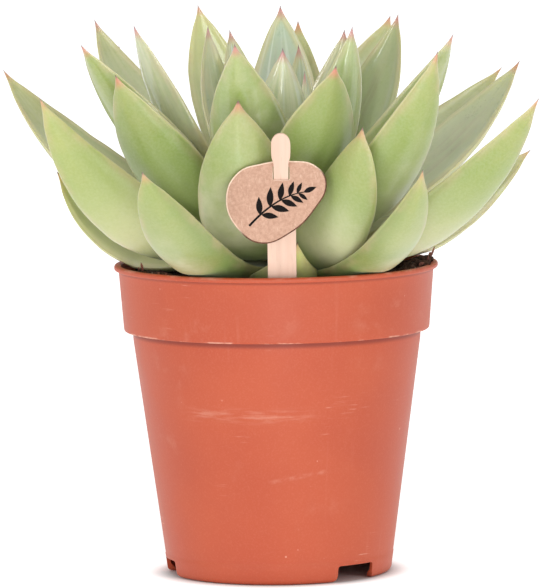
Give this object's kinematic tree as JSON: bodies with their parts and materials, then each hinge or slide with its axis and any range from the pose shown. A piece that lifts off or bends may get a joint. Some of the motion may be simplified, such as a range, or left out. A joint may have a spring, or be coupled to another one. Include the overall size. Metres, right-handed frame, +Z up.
{
  "type": "potted succulent",
  "caption": "Rosette-forming echeveria with thick pointed pale green leaves in a round terracotta-coloured plastic nursery pot, with a kraft tag on a wooden stick.",
  "frame": {"origin": "on the pot's axis, on the surface that the pot stands on", "axes": "+Z up along the pot's axis, -Y toward the side with the tag, +X to the right of it"},
  "size_m": [0.199, 0.1893, 0.2068],
  "materials": {
    "pot_plastic": "satin",
    "peat": "matte",
    "stem": "matte",
    "birch": "matte",
    "kraft_board": "matte",
    "leaf_outer": "satin",
    "leaf_inner": "satin"
  },
  "bodies": {
    "root": {"pot": "pot_plastic", "soil": "peat", "stem": "stem", "tag_stick": "birch", "tag_badge": "kraft_board", "leaf_01": "leaf_outer", "leaf_02": "leaf_outer", "leaf_03": "leaf_outer", "leaf_04": "leaf_outer", "leaf_05": "leaf_outer", "leaf_06": "leaf_outer", "leaf_07": "leaf_outer", "leaf_08": "leaf_outer", "leaf_09": "leaf_outer", "leaf_10": "leaf_outer", "leaf_11": "leaf_outer", "leaf_12": "leaf_outer", "leaf_13": "leaf_outer", "leaf_14": "leaf_outer", "leaf_15": "leaf_outer", "leaf_16": "leaf_outer", "leaf_17": "leaf_outer", "leaf_18": "leaf_outer", "leaf_19": "leaf_outer", "leaf_20": "leaf_outer", "leaf_21": "leaf_outer", "leaf_22": "leaf_outer", "leaf_23": "leaf_inner", "leaf_24": "leaf_inner", "leaf_25": "leaf_inner", "leaf_26": "leaf_inner", "leaf_27": "leaf_inner", "leaf_28": "leaf_inner", "leaf_29": "leaf_inner", "leaf_30": "leaf_inner", "leaf_31": "leaf_inner", "leaf_32": "leaf_inner", "leaf_33": "leaf_inner", "leaf_34": "leaf_inner", "leaf_35": "leaf_inner", "leaf_36": "leaf_inner", "leaf_37": "leaf_inner", "leaf_38": "leaf_inner", "leaf_39": "leaf_inner", "leaf_40": "leaf_inner", "leaf_41": "leaf_inner", "leaf_42": "leaf_inner", "leaf_43": "leaf_inner", "leaf_44": "leaf_inner", "leaf_45": "leaf_inner"}
  },
  "joints": []
}
